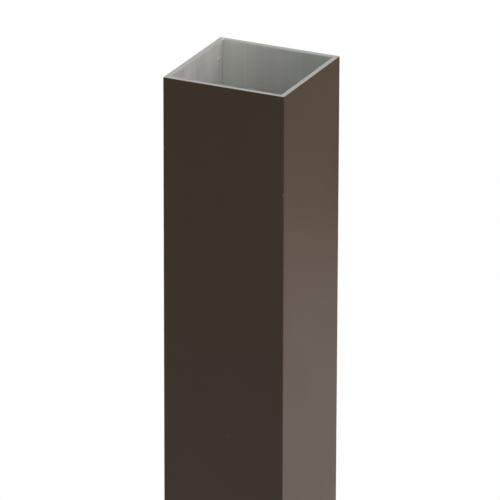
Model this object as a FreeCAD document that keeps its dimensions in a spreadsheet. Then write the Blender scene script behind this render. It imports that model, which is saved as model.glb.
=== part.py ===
# Square fence post: one length of extruded aluminium tube, open from end to end.
# It is sawn to length after its outside is powder coated, and the coat counts in the section width.
# Frame: +Z up along the post, origin at the middle of the foot, walls square to X and Y.
import FreeCAD, Part
import math
import os
import Sketcher

# Each driving dimension: its alias, its size in millimetres and what it measures
DIMENSIONS = [
    ("section_width", 50.0, "outside width of the tube, the same in X and Y"),
    ("wall_thickness", 2.2, "thickness of each of the four walls"),
    ("outer_corner_radius", 0.5, "rounding of the long outside corners"),
    ("inner_corner_radius", 0.3, "rounding of the long inside corners"),
    ("post_length", 1000.0, "from the sawn foot to the sawn head"),
    ("inner_edge_break", 0.25, "deburring chamfer round the inside of each sawn end"),
    ("outer_edge_break", 0.1, "deburring chamfer round the outside of each sawn end"),
]

SHEET = "Dimensions"
BORE_WIDTH = f"{SHEET}.section_width - 2 * {SHEET}.wall_thickness"
UP = FreeCAD.Vector(0, 0, 1)

# A face whose normal leans less than this from the post's length, in degrees, is a sawn end
SAWN_LEAN = 5.0

# How a sketch constraint names the points of a line or an arc, and the sketch's origin
START, END, CENTRE = 1, 2, 3
SKETCH_ORIGIN = (-1, 1)


def fill_sheet(document):
    """Writes the driving dimensions into a spreadsheet, one to a row."""
    sheet = document.addObject("Spreadsheet::Sheet", SHEET)
    for row, (alias, size, meaning) in enumerate(DIMENSIONS, start=1):
        sheet.set(f"A{row}", alias)
        sheet.set(f"B{row}", str(size))
        sheet.set(f"C{row}", meaning)
        sheet.setAlias(f"B{row}", alias)
    document.recompute()


def origin_plane(body, role):
    """Finds one of the body's own origin planes."""
    return next(plane for plane in body.Origin.OriginFeatures if plane.Role == role)


def draw_rounded_square(sketch, width, radius):
    """Draws four sides and four corner arcs anticlockwise from the side that faces -Y."""
    half_width = width / 2
    reach = half_width - radius
    quarter_turn = FreeCAD.Rotation(UP, 90)
    start = FreeCAD.Vector(-reach, -half_width, 0)
    end = FreeCAD.Vector(reach, -half_width, 0)
    centre = FreeCAD.Vector(reach, -reach, 0)
    sides, corners = [], []
    for turn in range(4):
        sides.append(sketch.addGeometry(Part.LineSegment(start, end)))
        rounding = Part.Circle(centre, UP, radius)
        leaves, arrives = math.radians(90 * (turn - 1)), math.radians(90 * turn)
        corners.append(sketch.addGeometry(Part.ArcOfCircle(rounding, leaves, arrives)))
        start, end, centre = (quarter_turn.multVec(point) for point in (start, end, centre))
    return sides, corners


def add_rounded_square(sketch, name, width, radius):
    """Adds a rounded square about the sketch's origin. Its width and radius are sheet expressions."""
    drawn_width, drawn_radius = sketch.evalExpression(width), sketch.evalExpression(radius)
    sides, corners = draw_rounded_square(sketch, drawn_width, drawn_radius)

    def constrain(*terms):
        return sketch.addConstraint(Sketcher.Constraint(*terms))

    def drive(dimension, constraint, expression):
        sketch.renameConstraint(constraint, f"{name}_{dimension}")
        sketch.setExpression(f"Constraints.{name}_{dimension}", expression)

    for turn in range(4):
        next_side = sides[(turn + 1) % 4]
        constrain("Tangent", sides[turn], END, corners[turn], START)
        constrain("Tangent", corners[turn], END, next_side, START)
        constrain("Vertical" if turn % 2 else "Horizontal", sides[turn])
        if turn:
            constrain("Equal", corners[0], corners[turn])
    constrain("Equal", sides[0], sides[1])
    constrain("Symmetric", corners[0], CENTRE, corners[2], CENTRE, *SKETCH_ORIGIN)

    minus_x, plus_x = sides[3], sides[1]
    drive("width", constrain("DistanceX", minus_x, START, plus_x, START, drawn_width), width)
    drive("radius", constrain("Radius", corners[0], drawn_radius), radius)


def sawn_edges(shape, outside):
    """Names the edges round the outside, or round the inside, of both sawn end faces."""
    upright = math.cos(math.radians(SAWN_LEAN))
    ends = [face for face in shape.Faces if abs(face.normalAt(0, 0).z) > upright]
    loops = [wire for end in ends for wire in end.Wires if wire.isSame(end.OuterWire) == outside]
    wanted = [edge for loop in loops for edge in loop.Edges]
    return [
        f"Edge{number}"
        for number, edge in enumerate(shape.Edges, start=1)
        if any(edge.isSame(one) for one in wanted)
    ]


def break_edges(body, name, base, outside, size):
    """Chamfers the outside or the inside edges of both sawn ends by a size on the sheet."""
    chamfer = body.newObject("PartDesign::Chamfer", name)
    chamfer.Base = (base, sawn_edges(base.Shape, outside))
    chamfer.setExpression("Size", size)
    body.Tip = chamfer
    body.Document.recompute()
    return chamfer


def build_post(document):
    """The post: its hollow section drawn on the ground plane, extruded, then deburred."""
    post = document.addObject("PartDesign::Body", "fence_post")
    section = post.newObject("Sketcher::SketchObject", "section")
    section.AttachmentSupport = (origin_plane(post, "XY_Plane"), "")
    section.MapMode = "FlatFace"
    add_rounded_square(section, "outside", f"{SHEET}.section_width", f"{SHEET}.outer_corner_radius")
    add_rounded_square(section, "inside", BORE_WIDTH, f"{SHEET}.inner_corner_radius")

    tube = post.newObject("PartDesign::Pad", "extruded_tube")
    tube.Profile = section
    tube.setExpression("Length", f"{SHEET}.post_length")
    document.recompute()
    if not section.FullyConstrained:
        raise ValueError("the section's sketch has a free dimension")

    inside = break_edges(post, "inner_edges", tube, False, f"{SHEET}.inner_edge_break")
    break_edges(post, "outer_edges", inside, True, f"{SHEET}.outer_edge_break")
    return post


def check(document, pieces):
    """Stops if any object failed to recompute or any piece isn't a valid solid."""
    for item in document.Objects:
        if {"Invalid", "Error"} & set(item.State):
            raise ValueError(f"{item.Name} failed: {item.State}")
    for piece in pieces:
        if piece.Shape.isNull() or not piece.Shape.isValid():
            raise ValueError(f"{piece.Label} has no valid shape")


def write_steps(pieces):
    """Writes each piece to a STEP file named after its label."""
    os.makedirs("parts", exist_ok=True)
    for piece in pieces:
        piece.Shape.exportStep(f"parts/{piece.Label}.step")
        size = piece.Shape.BoundBox
        print(
            f"{piece.Label}: {len(piece.Shape.Solids)} solid, {len(piece.Shape.Faces)} faces, "
            f"{size.XLength:.2f} x {size.YLength:.2f} x {size.ZLength:.2f} mm, "
            f"{piece.Shape.Volume / 1000:.2f} cm3"
        )


def main():
    document = FreeCAD.newDocument("square_fence_post")
    fill_sheet(document)
    pieces = [build_post(document)]
    document.recompute()
    check(document, pieces)
    write_steps(pieces)


main()
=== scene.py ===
import logging
import math
from dataclasses import dataclass
from enum import IntEnum

import bmesh
import bpy
from mathutils import Color, Matrix, Vector


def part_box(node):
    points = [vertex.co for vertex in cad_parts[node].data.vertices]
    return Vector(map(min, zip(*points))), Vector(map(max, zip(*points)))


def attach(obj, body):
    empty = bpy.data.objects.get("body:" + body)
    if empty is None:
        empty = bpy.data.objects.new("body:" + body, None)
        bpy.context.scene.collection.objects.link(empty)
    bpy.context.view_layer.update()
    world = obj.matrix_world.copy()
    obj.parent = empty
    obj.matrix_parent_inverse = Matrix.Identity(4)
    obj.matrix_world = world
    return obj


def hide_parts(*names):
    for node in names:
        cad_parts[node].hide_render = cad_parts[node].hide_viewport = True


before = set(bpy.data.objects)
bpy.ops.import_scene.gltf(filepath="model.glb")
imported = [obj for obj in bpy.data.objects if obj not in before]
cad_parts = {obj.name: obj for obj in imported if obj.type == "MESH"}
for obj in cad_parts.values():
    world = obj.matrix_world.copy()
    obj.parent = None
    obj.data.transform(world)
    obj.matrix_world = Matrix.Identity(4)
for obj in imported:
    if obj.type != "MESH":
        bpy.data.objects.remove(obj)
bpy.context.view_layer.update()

MM = 0.001
NODE = "fence_post"
UP = Vector((0, 0, 1))
log = logging.getLogger(NODE)

Colour = tuple[float, float, float]
Place = tuple[float, float, float]

# The level of white on a screen
WHITE_LEVEL = 255
# The level that a noise strays about
NOISE_MIDDLE = 0.5
# Stretches a pattern until it is the same all along an axis
ENDLESS = 1e6
# Two normals whose product is above this face the same way
SAME_WAY = 0.99
# How close to a cut a corner counts as on it, in metres
CUT_MARGIN = 1e-7


def screen_colour(red: int, green: int, blue: int) -> Colour:
    """Turns a colour's levels on a screen, from 0 to 255, into the linear values of a shader."""
    shown = Color((red / WHITE_LEVEL, green / WHITE_LEVEL, blue / WHITE_LEVEL))
    return tuple(shown.from_srgb_to_scene_linear())


def shade(colour: Colour, share: float) -> Colour:
    """Gives the colour that reflects this share of what another one reflects."""
    return tuple(part * share for part in colour)


@dataclass(frozen=True)
class Grain:
    """One noise in a finish.

    Attributes:
        size: The size of its largest grains, in millimetres.
        detail: How many finer noises it also holds.
        tone: How much it counts in the colour.
        sheen: How much it counts in the gloss or in the roughness.
    """

    size: float
    detail: float
    tone: float = 0.0
    sheen: float = 0.0


class Value:
    """One output socket of a node graph. Arithmetic on it adds Math nodes."""

    def __init__(self, graph: "Graph", socket: bpy.types.NodeSocket) -> None:
        """Wraps an output socket of the graph."""
        self.graph = graph
        self.socket = socket

    def maths(self, operation: str, *terms: "Value | float") -> "Value":
        """Adds one Math node that works on these terms."""
        return self.graph.node("ShaderNodeMath", "Value", {"operation": operation}, dict(enumerate(terms)))

    def __add__(self, other: "Value | float") -> "Value":
        """Adds."""
        return self.maths("ADD", self, other)

    def __sub__(self, other: "Value | float") -> "Value":
        """Takes the other from it."""
        return self.maths("SUBTRACT", self, other)

    def __rsub__(self, other: float) -> "Value":
        """Takes it from the other."""
        return self.maths("SUBTRACT", other, self)

    def __mul__(self, other: "Value | float") -> "Value":
        """Multiplies."""
        return self.maths("MULTIPLY", self, other)

    def __abs__(self) -> "Value":
        """Drops the sign."""
        return self.maths("ABSOLUTE", self)

    __radd__ = __add__
    __rmul__ = __mul__

    def rising(self, low: float, high: float) -> "Value":
        """Goes smoothly from 0 where the value is low to 1 where it is high."""
        ends = {"Value": self, "From Min": low, "From Max": high}
        return self.graph.node("ShaderNodeMapRange", "Result", {"interpolation_type": "SMOOTHSTEP"}, ends)

    def near(self, middle: float, reach: float) -> "Value":
        """Is 1 where the value is at the middle, and falls smoothly to 0 at this distance from it."""
        return abs(self - middle).rising(reach, 0)

    def sharpened(self, spread: float) -> "Value":
        """Takes a noise to 0 and 1 where it has strayed this far from its middle."""
        return self.rising(NOISE_MIDDLE - spread, NOISE_MIDDLE + spread)


class Graph:
    """The node tree of one material or of the world."""

    def __init__(self, tree: bpy.types.NodeTree) -> None:
        """Empties the tree."""
        self.tree = tree
        tree.nodes.clear()

    def add(self, kind: str, settings: dict | None = None, inputs: dict | None = None) -> bpy.types.Node:
        """Adds a node.

        Args:
            kind: The node's type.
            settings: The node's own properties, set before its sockets are.
            inputs: A number, a vector, a colour or a link for each socket, by name or by place.

        Returns:
            The node.
        """
        made = self.tree.nodes.new(kind)
        for name, setting in (settings or {}).items():
            setattr(made, name, setting)
        for key, term in (inputs or {}).items():
            socket = made.inputs[key] if isinstance(key, int) else self.in_use(made.inputs, key)
            if isinstance(term, Value):
                self.tree.links.new(term.socket, socket)
            elif socket.type == "RGBA":
                socket.default_value = (*term, 1.0)
            else:
                socket.default_value = term
        return made

    def node(
        self, kind: str, output: str, settings: dict | None = None, inputs: dict | None = None
    ) -> Value:
        """Adds a node and gives the output of this name."""
        return Value(self, self.in_use(self.add(kind, settings, inputs).outputs, output))

    @staticmethod
    def in_use(sockets: bpy.types.NodeInputs | bpy.types.NodeOutputs, name: str) -> bpy.types.NodeSocket:
        """Finds a socket by name among those that the node's settings leave in use."""
        return next(socket for socket in sockets if socket.name == name and socket.enabled)

    def place(self, origin: Place = (0, 0, 0), stretch: Place = (1, 1, 1)) -> Value:
        """Gives the place on the piece, in millimetres.

        Args:
            origin: The place that counts as zero, in millimetres.
            stretch: How many times longer than wide a pattern is drawn along X, Y and Z.

        Returns:
            The place, as a vector.
        """
        scale = [1 / (MM * times) for times in stretch]
        shift = [-start / times for start, times in zip(origin, stretch)]
        own = self.node("ShaderNodeTexCoord", "Object")
        inputs = {"Vector": own, "Location": shift, "Scale": scale}
        return self.node("ShaderNodeMapping", "Vector", inputs=inputs)

    def axes(self, vector: Value) -> tuple[Value, Value, Value]:
        """Splits a vector.

        Args:
            vector: The vector.

        Returns:
            Its parts along X, Y and Z.
        """
        split = self.add("ShaderNodeSeparateXYZ", inputs={"Vector": vector})
        x, y, z = (Value(self, split.outputs[axis]) for axis in "XYZ")
        return x, y, z

    def distance(self, vector: Value) -> Value:
        """Gives the length of a vector."""
        return self.node("ShaderNodeVectorMath", "Value", {"operation": "LENGTH"}, {"Vector": vector})

    def flecks(self, places: tuple[Place, ...], radius: float, stretch: Place = (1, 1, 1)) -> Value:
        """Marks small flecks.

        Args:
            places: Their middles on the piece, in millimetres.
            radius: Their radius, in millimetres.
            stretch: How many times that radius they reach along X, Y and Z.

        Returns:
            1 in a fleck's middle, falling to 0 at its edge.
        """
        return sum(self.distance(self.place(middle, stretch)).near(0, radius) for middle in places)

    def noise(self, place: Value, grain: Grain) -> Value:
        """Adds a soft noise, from 0 to 1 and mostly near a half, in millimetres."""
        inputs = {"Vector": place, "Scale": 1 / grain.size, "Detail": grain.detail}
        return self.node("ShaderNodeTexNoise", "Fac", inputs=inputs)

    def noise_along(self, distance: Value, grain: Grain) -> Value:
        """Adds a soft noise that changes only with one distance, in millimetres."""
        inputs = {"W": distance, "Scale": 1 / grain.size, "Detail": grain.detail}
        return self.node("ShaderNodeTexNoise", "Fac", {"noise_dimensions": "1D"}, inputs)

    def blend(self, share: Value, first: Value | Colour, second: Value | Colour) -> Value:
        """Mixes two colours, the second one by its share."""
        inputs = {"Factor": share, "A": first, "B": second}
        return self.node("ShaderNodeMix", "Result", {"data_type": "RGBA"}, inputs)

    def bump(self, height: Value, depth: float, under: Value | None = None) -> Value:
        """Tilts the surface as a relief would.

        Args:
            height: The relief, as a share of its depth.
            depth: Its depth in millimetres.
            under: A normal that another relief has tilted already.

        Returns:
            The tilted normal.
        """
        inputs = {"Height": height, "Distance": depth * MM, "Strength": 1.0}
        if under:
            inputs["Normal"] = under
        return self.node("ShaderNodeBump", "Normal", inputs=inputs)

    def principled(self, **inputs: Value | float | Colour) -> Value:
        """Adds a Principled shader. An input's name has _ in place of a space."""
        spaced = {name.replace("_", " "): term for name, term in inputs.items()}
        return self.node("ShaderNodeBsdfPrincipled", "BSDF", inputs=spaced)

    def any_seen_ray(self) -> Value:
        """Tells a ray that sees a surface from one that lights it.

        Returns:
            1 for a ray from the camera, or from gloss or glass, and 0 for any other.
        """
        kinds = ("Is Camera Ray", "Is Glossy Ray", "Is Transmission Ray")
        camera, glossy, through = (self.node("ShaderNodeLightPath", kind) for kind in kinds)
        return camera.maths("MAXIMUM", camera, glossy.maths("MAXIMUM", glossy, through))

    def finish(self, shader: Value, kind: str = "ShaderNodeOutputMaterial") -> None:
        """Links the last shader to the tree's output."""
        self.add(kind, inputs={"Surface": shader})


def new_material(name: str) -> tuple[bpy.types.Material, Graph]:
    """Makes an empty material.

    Args:
        name: Its name.

    Returns:
        The material and its graph.
    """
    material = bpy.data.materials.new(name)
    material.use_nodes = True
    return material, Graph(material.node_tree)


@dataclass(frozen=True)
class PowderCoat:
    """The baked polyester powder outside: satin, dark brown, with the faintest orange peel.

    Attributes:
        colour: The coat's own colour.
        mottle: How far the colour strays either way, as a share.
        clouds: The soft clouds in the colour and in the sheen.
        powder: The powder's own grain.
        gloss: How strong the clear sheen of its surface is.
        refraction: The refractive index of that surface.
        roughness: How dull the sheen is.
        peel: The cells of the orange peel.
        peel_depth: The depth of the orange peel, in millimetres.
        flecks: Where the few pale flecks are, in millimetres.
        fleck_radius: The radius of a fleck, in millimetres.
        fleck_colour: The colour of a fleck.
    """

    colour: Colour = screen_colour(76, 61, 48)
    mottle: float = 0.03
    clouds: Grain = Grain(38.0, 3.0, tone=0.7, sheen=0.05)
    powder: Grain = Grain(0.45, 1.0, tone=0.3, sheen=0.03)
    gloss: float = 0.17
    refraction: float = 1.5
    roughness: float = 0.32
    peel: Grain = Grain(1.6, 1.0)
    peel_depth: float = 0.006
    flecks: tuple[Place, ...] = ((-24.5, -25.0, 972.0), (25.0, -25.0, 961.0), (1.9, -25.5, 858.9))
    fleck_radius: float = 0.9
    fleck_colour: Colour = screen_colour(102, 89, 77)

    def material(self) -> bpy.types.Material:
        """Makes the coat's material.

        Returns:
            The material.
        """
        material, graph = new_material("brown_powder_coat")
        place = graph.place()
        clouds = graph.noise(place, self.clouds)
        powder = graph.noise(place, self.powder)
        # A noise strays only about a quarter either way, so its two ends lie twice as far out
        darkest = shade(self.colour, 1 - 2 * self.mottle)
        palest = shade(self.colour, 1 + 2 * self.mottle)
        plain = graph.blend(self.clouds.tone * clouds + self.powder.tone * powder, darkest, palest)
        flecks = graph.flecks(self.flecks, self.fleck_radius)
        cloud_sheen = self.clouds.sheen * (clouds - NOISE_MIDDLE)
        powder_sheen = self.powder.sheen * (powder - NOISE_MIDDLE)
        peel = graph.noise(place, self.peel)
        # The coat layer alone gives the sheen, so the colour under it has none of its own
        graph.finish(
            graph.principled(
                Base_Color=graph.blend(flecks, plain, self.fleck_colour),
                Roughness=self.roughness,
                Specular_IOR_Level=0.0,
                Coat_Weight=self.gloss + cloud_sheen + powder_sheen,
                Coat_Roughness=self.roughness,
                Coat_IOR=self.refraction,
                Normal=graph.bump(peel, self.peel_depth),
            )
        )
        return material


@dataclass(frozen=True)
class ShadeStep:
    """A stretch of the back wall over which painted shade makes it darker and darker to the right, partly
    where the right wall shades it and partly in die bands.

    Attributes:
        start: Where it starts, in millimetres from the wall's middle.
        end: Where it ends.
        share: How much darker it gets.
    """

    start: float
    end: float
    share: float


@dataclass(frozen=True)
class MillFinish:
    """Bare aluminium as it leaves the die: dull, and drawn into fine lines along the post.

    Attributes:
        half_bore: Half the width of the bore, in millimetres.
        back_lines: Where the die lines run down the back wall, in millimetres from its middle.
        head: The height of the sawn head, in millimetres.
        colour: What the brightest metal reflects.
        dull_share: How much of that the dullest metal reflects.
        roughness: How dull its sheen is.
        draw: How many times longer than wide the die's streaks are.
        streaks: The fine streaks.
        streak_spread: How far they stray before their tone is at its end.
        streak_depth: Their depth, in millimetres.
        bands: The broad streaks.
        band_spread: How far they stray before their tone is at its end.
        bloom: The clouds of oxide.
        corner_lift: How much brighter painted light makes a side wall beside its corners, where it lifts
            their shade.
        corner_lift_reach: How far from a corner that painted light starts, in millimetres.
        shade_colour: The colour of the back wall's painted shade where it is darkest.
        first_shade: How much painted shade the back wall has at its left end.
        shade_steps: The stretches over which that painted shade deepens.
        streak_lift: How much of that painted shade the brightest fine streak takes away.
        head_shade: How much painted shade darkens the back wall towards the head.
        head_shade_reach: How far down from the head that painted shade reaches, in millimetres.
        shade_line_colour: The colour of a line of painted shade, in an inside corner or in a die line's
            groove.
        half_line: Half the width of a line of painted shade, in millimetres.
        die_line_shade: How dark the painted shade in a die line is, as a share of that along a corner.
        drops: Where small drops of metal have stuck to the wall, in millimetres.
        drop_radius: The radius of a drop along the post, in millimetres.
        drop_stretch: How many times that radius it reaches along X, Y and Z.
        drop_height: How far a drop stands out, in millimetres.
        drop_highlight_colour: The paler colour of a drop, partly its brighter metal and partly a painted
            highlight.
    """

    half_bore: float
    back_lines: tuple[float, ...]
    head: float
    colour: Colour = (0.891, 0.891, 0.865)
    dull_share: float = 0.9
    roughness: float = 0.5
    draw: float = 400.0
    streaks: Grain = Grain(0.9, 3.0, tone=0.35, sheen=0.2)
    streak_spread: float = 0.2
    streak_depth: float = 0.004
    bands: Grain = Grain(7.0, 1.0, tone=0.3)
    band_spread: float = 0.15
    bloom: Grain = Grain(14.0, 3.0, tone=0.25, sheen=0.1)
    corner_lift: float = 0.35
    corner_lift_reach: float = 6.0
    shade_colour: Colour = (0.516, 0.543, 0.513)
    first_shade: float = 0.21
    shade_steps: tuple[ShadeStep, ...] = (
        ShadeStep(-17.0, -5.0, 0.252),
        ShadeStep(-9.4, -9.0, 0.084),
        ShadeStep(-6.0, 15.0, 0.21),
        ShadeStep(2.0, 20.0, 0.05),
    )
    streak_lift: float = 0.077
    head_shade: float = 0.21
    head_shade_reach: float = 15.0
    shade_line_colour: Colour = (0.64, 0.65, 0.635)
    half_line: float = 0.5
    die_line_shade: float = 0.35
    drops: tuple[Place, ...] = ((-22.8, 19.2, 993.4),)
    drop_radius: float = 1.0
    drop_stretch: Place = (1, 2.2, 1)
    drop_height: float = 0.21
    drop_highlight_colour: Colour = (0.98, 0.98, 0.97)

    def material(self) -> bpy.types.Material:
        """Makes the metal's material.

        Returns:
            The material.
        """
        material, graph = new_material("mill_finish_aluminium")
        drawn = graph.place(stretch=(1, 1, self.draw))
        streaks = graph.noise(drawn, self.streaks)
        fine = streaks.sharpened(self.streak_spread)
        bands = graph.noise(drawn, self.bands).sharpened(self.band_spread)
        bloom = graph.noise(graph.place(), self.bloom)

        across, back, height = graph.axes(graph.place())
        corner = self.half_bore - 2 * self.half_line
        at_back = back.rising(corner, self.half_bore - self.half_line)
        # Painted light: each side wall is made brighter beside its inside corners, lifting the shade there
        corner_lifted = (1 - at_back) * abs(back).rising(self.half_bore - self.corner_lift_reach, corner)
        drawn_tone = self.streaks.tone * fine + self.bands.tone * bands
        tone = drawn_tone + self.bloom.tone * bloom + self.corner_lift * corner_lifted
        bare = graph.blend(tone, shade(self.colour, self.dull_share), self.colour)

        # Painted shade: the back wall is darker towards the head
        head_shaded = self.head_shade * height.rising(self.head - self.head_shade_reach, self.head)
        # Painted shade: the back wall turns darker to the right, where the right wall shades it, with die
        # bands in it
        painted_shade = self.painted_shade(across) + head_shaded - self.streak_lift * fine
        back_shaded = graph.blend(at_back * painted_shade, bare, self.shade_colour)
        # Painted shade: dark lines along the inside corners and in the grooves of the back wall's die
        # lines
        lines = self.corner_shade_lines(back) + self.die_line_shade * at_back * self.die_lines(across)
        shade_lined = graph.blend(lines, back_shaded, self.shade_line_colour)

        drawn_sheen = self.streaks.sheen * (streaks - NOISE_MIDDLE)
        bloom_sheen = self.bloom.sheen * (bloom - NOISE_MIDDLE)
        # The drops stand out, and their paler colour is partly a painted highlight
        drops = graph.flecks(self.drops, self.drop_radius, self.drop_stretch)
        relief = graph.bump(streaks, self.streak_depth)
        graph.finish(
            graph.principled(
                Base_Color=graph.blend(drops, shade_lined, self.drop_highlight_colour),
                Metallic=1.0,
                Roughness=self.roughness + drawn_sheen + bloom_sheen,
                Normal=graph.bump(drops, self.drop_height, relief),
            )
        )
        return material

    def painted_shade(self, across: Value) -> Value:
        """Gives the back wall's painted shade, from 0 to 1, from left to right."""
        steps = (step.share * across.rising(step.start, step.end) for step in self.shade_steps)
        return sum(steps, self.first_shade)

    def die_lines(self, across: Value) -> Value:
        """Is 1 along the middle of each die line of the back wall, where the shade of its groove is
        painted.
        """
        return sum(across.near(line, self.half_line) for line in self.back_lines)

    def corner_shade_lines(self, back: Value) -> Value:
        """Is 1 along a line of painted shade on each side wall, close to its two inside corners."""
        return abs(back).near(self.half_bore - self.half_line, self.half_line)


@dataclass(frozen=True)
class SawnFace:
    """The bright cut ends, which keep the arcs of the saw's teeth.

    Attributes:
        colour: What the metal reflects.
        dull_share: How much of that the dullest marks reflect.
        edge_shade_share: How much of it the chamfered edges reflect, darkened by painted shade.
        face_lean: How upright a normal is on the sawn face at least, and on an edge at most.
        roughness: How dull its sheen is.
        saw_centre: The middle of the saw's blade at the cut, in millimetres.
        marks: The marks of its teeth.
        mark_depth: Their depth, in millimetres.
        smear: The clouds where the blade has smeared the metal.
        corner_glint: Where a painted glint sits on the sawn face by a corner, in millimetres.
        glint_radius: Its radius, in millimetres.
        glint_colour: The bright colour of that painted glint.
    """

    colour: Colour = (0.437, 0.428, 0.4)
    dull_share: float = 0.84
    edge_shade_share: float = 0.8
    face_lean: tuple[float, float] = (0.95, 0.8)
    roughness: float = 0.42
    saw_centre: Place = (-60, -190, 0)
    marks: Grain = Grain(0.35, 2.0, tone=0.5, sheen=0.2)
    mark_depth: float = 0.004
    smear: Grain = Grain(6.0, 2.0, tone=0.5, sheen=0.16)
    corner_glint: Place = (-23.3, 23.4, 1000.0)
    glint_radius: float = 0.9
    glint_colour: Colour = (0.9, 0.89, 0.87)

    def material(self) -> bpy.types.Material:
        """Makes the cut metal's material.

        Returns:
            The material.
        """
        material, graph = new_material("sawn_aluminium")
        from_saw = graph.distance(graph.place(self.saw_centre, stretch=(1, 1, ENDLESS)))
        marks = graph.noise_along(from_saw, self.marks)
        smear = graph.noise(graph.place(), self.smear)
        tone = self.marks.tone * marks + self.smear.tone * smear
        cut = graph.blend(tone, shade(self.colour, self.dull_share), self.colour)
        # Painted highlight: a bright glint on the sawn face by the back corner
        glinted = graph.blend(graph.flecks((self.corner_glint,), self.glint_radius), cut, self.glint_colour)
        # Painted shade: the chamfers round the sawn face are darker than the face
        _, _, upright = graph.axes(graph.node("ShaderNodeNewGeometry", "Normal"))
        shaded_edge = abs(upright).rising(*self.face_lean)
        mark_sheen = self.marks.sheen * (marks - NOISE_MIDDLE)
        smear_sheen = self.smear.sheen * (smear - NOISE_MIDDLE)
        graph.finish(
            graph.principled(
                Base_Color=graph.blend(shaded_edge, glinted, shade(self.colour, self.edge_shade_share)),
                Metallic=1.0,
                Roughness=self.roughness + mark_sheen + smear_sheen,
                Normal=graph.bump(marks, self.mark_depth),
            )
        )
        return material


class Finish(IntEnum):
    """The finishes of the tube, in the order of its material slots."""

    COAT = 0
    MILL = 1
    SAWN = 2


class Wall(IntEnum):
    """The walls of the tube, by quarter turns anticlockwise from the front one."""

    FRONT = 0
    RIGHT = 1
    BACK = 2
    LEFT = 3


@dataclass(frozen=True)
class DieLine:
    """A shallow line that a rubbed-away spot of the die draws along the inside of a wall.

    Attributes:
        wall: The wall.
        across: Distance from the wall's middle, in metres, to the left seen from inside.
        width: Its width, in metres.
        depth: How deep it is cut into the wall, in metres.
    """

    wall: Wall
    across: float
    width: float
    depth: float


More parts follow.
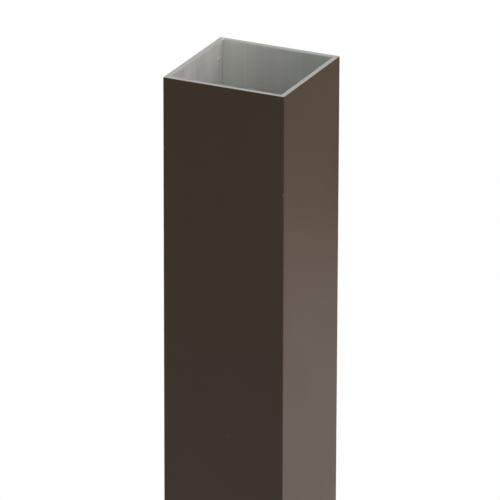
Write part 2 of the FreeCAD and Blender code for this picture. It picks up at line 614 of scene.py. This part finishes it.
@dataclass(frozen=True)
class CoatedTube:
    """The post: a square aluminium tube, coated outside and then sawn to length.

    Attributes:
        width: Outside width of the section, in metres.
        length: From the sawn foot to the sawn head.
        wall: Thickness of the walls.
        outer_radius: Rounding of the long outside corners.
        inner_radius: Rounding of the long inside corners.
        outer_break: Width of the break round the outside of a sawn end.
        inner_break: Width of the deburring round the inside of a sawn end.
        corner_steps: Flats that make up a rounded corner.
        smooth_below: The angle up to which two faces shade as one, in degrees.
        die_lines: The lines along the inside walls.
    """

    width: float
    length: float
    wall: float = 2.2 * MM
    outer_radius: float = 0.5 * MM
    inner_radius: float = 0.3 * MM
    outer_break: float = 0.1 * MM
    inner_break: float = 0.25 * MM
    corner_steps: int = 6
    smooth_below: float = 30.0
    die_lines: tuple[DieLine, ...] = (
        DieLine(Wall.BACK, 20.7 * MM, 0.7 * MM, 0.06 * MM),
        DieLine(Wall.BACK, 6.5 * MM, 0.7 * MM, 0.04 * MM),
        DieLine(Wall.BACK, -9.5 * MM, 0.5 * MM, 0.03 * MM),
        DieLine(Wall.RIGHT, -16.0 * MM, 0.6 * MM, 0.03 * MM),
        DieLine(Wall.RIGHT, 5.5 * MM, 0.5 * MM, 0.04 * MM),
        DieLine(Wall.FRONT, -12.5 * MM, 0.6 * MM, 0.03 * MM),
        DieLine(Wall.FRONT, 17.0 * MM, 0.5 * MM, 0.04 * MM),
        DieLine(Wall.LEFT, -3.0 * MM, 0.7 * MM, 0.03 * MM),
        DieLine(Wall.LEFT, 14.5 * MM, 0.5 * MM, 0.04 * MM),
    )

    def build(self) -> bpy.types.Object:
        """Models and dresses the tube.

        Returns:
            The finished piece.
        """
        shape = bmesh.new()
        self.add_sleeve(shape, self.width, self.outer_radius, Finish.COAT)
        self.add_sleeve(shape, self.width - 2 * self.wall, self.inner_radius, Finish.MILL)
        for height in (0, self.length):
            self.close_end(shape, height)
        bmesh.ops.recalc_face_normals(shape, faces=shape.faces)
        self.break_edges(shape, Finish.COAT, self.outer_break, Finish.COAT)
        self.break_edges(shape, Finish.MILL, self.inner_break, Finish.SAWN)
        for line in self.die_lines:
            self.draw_die_line(shape, line)
        return self.dress(shape)

    @staticmethod
    def bevel(
        shape: bmesh.types.BMesh, edges: list[bmesh.types.BMEdge], size: float, steps: int
    ) -> list[bmesh.types.BMFace]:
        """Bevels some edges.

        Args:
            shape: The mesh.
            edges: Its edges to bevel.
            size: The distance from an edge at which its bevel starts.
            steps: Flats that make up the bevel.

        Returns:
            The new faces.
        """
        bevelled = bmesh.ops.bevel(
            shape,
            geom=edges,
            offset=size,
            offset_type="OFFSET",
            segments=steps,
            profile=0.5,
            affect="EDGES",
            material=-1,
        )
        return bevelled["faces"]

    def add_sleeve(self, shape: bmesh.types.BMesh, width: float, radius: float, finish: Finish) -> None:
        """Adds four upright walls with rounded corners and no ends.

        Args:
            shape: The mesh to add them to.
            width: Their width across the flats.
            radius: The radius of the corners.
            finish: Their finish.
        """
        stand = Matrix.Translation(UP * self.length / 2)
        size = Matrix.Diagonal((width, width, self.length, 1))
        corners = bmesh.ops.create_cube(shape, size=1, matrix=stand @ size)["verts"]
        faces = {face for corner in corners for face in corner.link_faces}
        walls = [face for face in faces if abs(face.normal.dot(UP)) < SAME_WAY]
        for face in walls:
            face.material_index = finish
        edges = {edge for face in walls for edge in face.edges}
        posts = [edge for edge in edges if all(face in walls for face in edge.link_faces)]
        bmesh.ops.delete(shape, geom=list(faces.difference(walls)), context="FACES_ONLY")
        self.bevel(shape, posts, radius, self.corner_steps)

    def close_end(self, shape: bmesh.types.BMesh, height: float) -> None:
        """Bridges the outer and the inner sleeve with the sawn face at one end.

        Args:
            shape: The mesh of the two sleeves.
            height: The height of that end.
        """
        open_edges = [
            edge
            for edge in shape.edges
            if edge.is_boundary and all(math.isclose(v.co.z, height, abs_tol=MM) for v in edge.verts)
        ]
        middle_of_wall = (self.width - self.wall) / 2
        ends = {vertex for edge in open_edges for vertex in edge.verts}
        bore = [vertex for vertex in ends if max(map(abs, vertex.co.xy)) < middle_of_wall]
        # Two loops in one plane can be joined the wrong way round, so the inner one stands off for it
        bmesh.ops.translate(shape, verts=bore, vec=UP * self.wall)
        sawn = bmesh.ops.bridge_loops(shape, edges=open_edges)["faces"]
        bmesh.ops.translate(shape, verts=bore, vec=-UP * self.wall)
        for face in sawn:
            face.material_index = Finish.SAWN

    def break_edges(self, shape: bmesh.types.BMesh, side: Finish, size: float, finish: Finish) -> None:
        """Chamfers the sawn ends' edges along one side of the wall.

        Args:
            shape: The mesh.
            side: The finish of the wall's side that the edges are on.
            size: The width of the chamfer along each face.
            finish: The finish of the chamfer.
        """
        sharp = [
            edge
            for edge in shape.edges
            if {face.material_index for face in edge.link_faces} == {side, Finish.SAWN}
        ]
        for face in self.bevel(shape, sharp, size, 1):
            face.material_index = finish

    @staticmethod
    def draw_die_line(shape: bmesh.types.BMesh, line: DieLine) -> None:
        """Cuts one inside wall along a die line and presses the line's middle into the wall.

        Args:
            shape: The mesh.
            line: The die line.
        """
        turn = Matrix.Rotation(math.radians(90) * line.wall, 3, "Z")
        facing, along = turn @ Vector((0, 1, 0)), turn @ Vector((1, 0, 0))
        for across in (-line.width / 2, line.width / 2, 0):
            wall = [
                face
                for face in shape.faces
                if face.material_index == Finish.MILL and face.normal.dot(facing) > SAME_WAY
            ]
            cut = bmesh.ops.bisect_plane(
                shape,
                geom=wall + list({part for face in wall for part in (*face.edges, *face.verts)}),
                dist=CUT_MARGIN,
                plane_co=along * (line.across + across),
                plane_no=along,
            )
        for part in cut["geom_cut"]:
            if isinstance(part, bmesh.types.BMVert):
                part.co -= facing * line.depth

    def dress(self, shape: bmesh.types.BMesh) -> bpy.types.Object:
        """Makes the shape an object with its three finishes and smooth corners.

        Args:
            shape: The finished mesh, which is freed.

        Returns:
            The piece.
        """
        for face in shape.faces:
            face.smooth = True
        for edge in shape.edges:
            edge.smooth = edge.calc_face_angle(0) < math.radians(self.smooth_below)
        mesh = bpy.data.meshes.new("coated_tube")
        shape.to_mesh(mesh)
        shape.free()
        back_lines = tuple(-line.across / MM for line in self.die_lines if line.wall == Wall.BACK)
        mill = MillFinish((self.width / 2 - self.wall) / MM, back_lines, self.length / MM)
        for finish in (PowderCoat(), mill, SawnFace()):
            mesh.materials.append(finish.material())
        piece = bpy.data.objects.new("coated_tube", mesh)
        bpy.context.scene.collection.objects.link(piece)
        flats = piece.modifiers.new("flat_walls", "WEIGHTED_NORMAL")
        flats.keep_sharp = True
        return piece


@dataclass(frozen=True)
class SoftLamp:
    """A soft rectangular lamp that the camera doesn't see.

    Attributes:
        name: What it is called.
        place: Where its middle is, in metres.
        aim: The point that it faces, in metres.
        width: Its width, in metres.
        height: Its height, in metres.
        brightness: How bright its face looks, where 1 is white.
        tint: The colour of its light.
        lights_floor: Whether it lights the floor as well as the post.
    """

    name: str
    place: Place
    aim: Place
    width: float
    height: float
    brightness: float
    tint: Colour = (1, 1, 1)
    lights_floor: bool = False

    def hang(self, post: bpy.types.Object) -> None:
        """Adds the lamp to the scene.

        Args:
            post: The piece that it always lights.
        """
        light = bpy.data.lights.new(self.name, "AREA")
        light.shape = "RECTANGLE"
        light.size = self.width
        light.size_y = self.height
        light.energy = self.brightness * math.pi * self.width * self.height
        light.color = self.tint
        lamp = bpy.data.objects.new(self.name, light)
        bpy.context.scene.collection.objects.link(lamp)
        lamp.location = self.place
        lamp.rotation_euler = (Vector(self.aim) - lamp.location).to_track_quat("-Z", "Y").to_euler()
        lamp.visible_camera = False
        if not self.lights_floor:
            lit = bpy.data.collections.new(f"lit_by_{self.name}")
            lit.objects.link(post)
            lamp.light_linking.receiver_collection = lit


@dataclass(frozen=True)
class Studio:
    """The white floor, the pale surroundings and the soft lamps.

    Attributes:
        half_floor: Half the floor's side, in metres.
        floor_grey: How much light the floor sends back.
        floor_glow: The glow that lifts it to near white wherever it is seen.
        even_from: The distance from the post at which the floor starts to fade to even white.
        even_at: The distance at which it is even white.
        low_light: The light that comes from all round at eye level, where 1 is white.
        high_light: The light that comes from straight above.
        key_lamp: The lamp that lights the whole scene, from the right.
        strip_lamp: The lamp beside the foot, behind the right side.
        low_card: The cool card in front of the post.
        left_card: The card to its left.
    """

    half_floor: float = 200.0
    floor_grey: float = 0.6
    floor_glow: float = 0.5
    even_from: float = 0.9
    even_at: float = 1.6
    low_light: Colour = (0.42, 0.46, 0.44)
    high_light: Colour = (0.62, 0.66, 0.64)
    key_lamp: SoftLamp = SoftLamp(
        name="key_lamp",
        place=(1.6, 0.3, 2.0),
        aim=(0, 0, 0.9),
        width=1.2,
        height=1.2,
        brightness=5.1,
        tint=(1.04, 0.965, 0.975),
        lights_floor=True,
    )
    strip_lamp: SoftLamp = SoftLamp(
        name="strip_lamp",
        place=(0.24, 0.45, 0.43),
        aim=(0, 0, 0.43),
        width=0.25,
        height=0.6,
        brightness=3.3,
        tint=(1.05, 0.99, 0.97),
    )
    low_card: SoftLamp = SoftLamp(
        name="low_card",
        place=(-0.24, -0.5, 0.53),
        aim=(0, 0, 0.6),
        width=0.2,
        height=0.3,
        brightness=1.2,
        tint=(0.85, 1, 1.2),
    )
    left_card: SoftLamp = SoftLamp(
        name="left_card",
        place=(-1.2, 0.25, 0.5),
        aim=(0, 0, 0.5),
        width=0.4,
        height=0.8,
        brightness=2.0,
    )

    def set_up(self, post: bpy.types.Object) -> None:
        """Makes the floor, the surroundings and the lamps.

        Args:
            post: The piece that the lamps light.
        """
        self.lay_floor()
        self.light_surroundings()
        for lamp in (self.key_lamp, self.strip_lamp, self.low_card, self.left_card):
            lamp.hang(post)

    def lay_floor(self) -> None:
        """Makes the floor, which shows white but keeps the post's shadow."""
        shape = bmesh.new()
        bmesh.ops.create_grid(shape, x_segments=1, y_segments=1, size=self.half_floor)
        mesh = bpy.data.meshes.new("floor")
        shape.to_mesh(mesh)
        shape.free()
        floor = bpy.data.objects.new("floor", mesh)
        bpy.context.scene.collection.objects.link(floor)
        mesh.materials.append(self.floor_material())

    def floor_material(self) -> bpy.types.Material:
        """Makes a matt grey that a glow lifts to white wherever it is seen from above.

        Returns:
            The material.
        """
        material, graph = new_material("white_floor")
        seen = graph.any_seen_ray()
        far = graph.distance(graph.place()).rising(self.even_from / MM, self.even_at / MM)
        grey = graph.node("ShaderNodeBsdfDiffuse", "BSDF", inputs={"Color": (self.floor_grey,) * 3})
        lift = graph.node("ShaderNodeEmission", "Emission", inputs={"Strength": seen * self.floor_glow})
        lifted = graph.node("ShaderNodeAddShader", "Shader", inputs={0: grey, 1: lift})
        white = graph.node("ShaderNodeEmission", "Emission", inputs={"Strength": 1.0})
        top = graph.node("ShaderNodeMixShader", "Shader", inputs={0: seen * far, 1: lifted, 2: white})
        clear = graph.node("ShaderNodeBsdfTransparent", "BSDF")
        below = graph.node("ShaderNodeNewGeometry", "Backfacing")
        graph.finish(graph.node("ShaderNodeMixShader", "Shader", inputs={0: below, 1: top, 2: clear}))
        return material

    def light_surroundings(self) -> None:
        """Makes the world white where it is seen and a plain pale light elsewhere."""
        world = bpy.data.worlds.new("pale_surroundings")
        world.use_nodes = True
        bpy.context.scene.world = world
        graph = Graph(world.node_tree)
        _, _, height = graph.axes(graph.node("ShaderNodeTexCoord", "Generated"))
        soft = graph.blend(height, self.low_light, self.high_light)
        light = graph.blend(graph.any_seen_ray(), soft, (1, 1, 1))
        sky = graph.node("ShaderNodeBackground", "Background", inputs={"Color": light})
        graph.finish(sky, "ShaderNodeOutputWorld")


@dataclass(frozen=True)
class Camera:
    """The camera, which looks down on the post's head from the right of its front.

    Attributes:
        azimuth: How far it stands round from straight in front, in degrees.
        elevation: How steeply it looks down, in degrees.
        roll: How far it leans, in degrees.
        lens: Its focal length, in millimetres.
        sensor: The width of its sensor, in millimetres.
        distance: From the point that it looks at, in metres.
        aim_below_head: How far that point lies below the post's head, in metres.
        aim_to_left: How far that point lies to the left of the post's axis, in metres.
    """

    azimuth: float = 25.22
    elevation: float = 21.56
    roll: float = 0.16
    lens: float = 444.0
    sensor: float = 36.0
    distance: float = 2342 * MM
    aim_below_head: float = 74.0 * MM
    aim_to_left: float = 0.5 * MM

    def set_up(self, post_length: float) -> None:
        """Places the camera before the post and makes it the scene's own.

        Args:
            post_length: The height of the post's head, in metres.
        """
        turn = Matrix.Rotation(math.radians(self.azimuth), 4, "Z")
        tilt = Matrix.Rotation(math.radians(90 - self.elevation), 4, "X")
        lean = Matrix.Rotation(math.radians(self.roll), 4, "Z")
        aim = Matrix.Translation(UP * (post_length - self.aim_below_head))
        back = Matrix.Translation((-self.aim_to_left, 0, self.distance))
        lens = bpy.data.cameras.new("camera")
        lens.lens = self.lens
        lens.sensor_width = self.sensor
        camera = bpy.data.objects.new("camera", lens)
        bpy.context.scene.collection.objects.link(camera)
        camera.matrix_world = aim @ turn @ tilt @ back @ lean
        bpy.context.scene.camera = camera


def main() -> None:
    """Builds the post, the studio and the camera, in that order."""
    logging.basicConfig(level=logging.INFO, format="%(message)s")
    bpy.context.scene.view_settings.view_transform = "Standard"

    low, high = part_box(NODE)
    size = Vector(high) - Vector(low)
    tube = CoatedTube(width=size.x, length=size.z)
    piece = tube.build()
    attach(piece, "root")
    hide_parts(NODE)
    log.info("%s: %d faces, %.1f mm long", piece.name, len(piece.data.polygons), tube.length / MM)

    Studio().set_up(piece)
    Camera().set_up(tube.length)


if __name__ == "__main__":
    main()
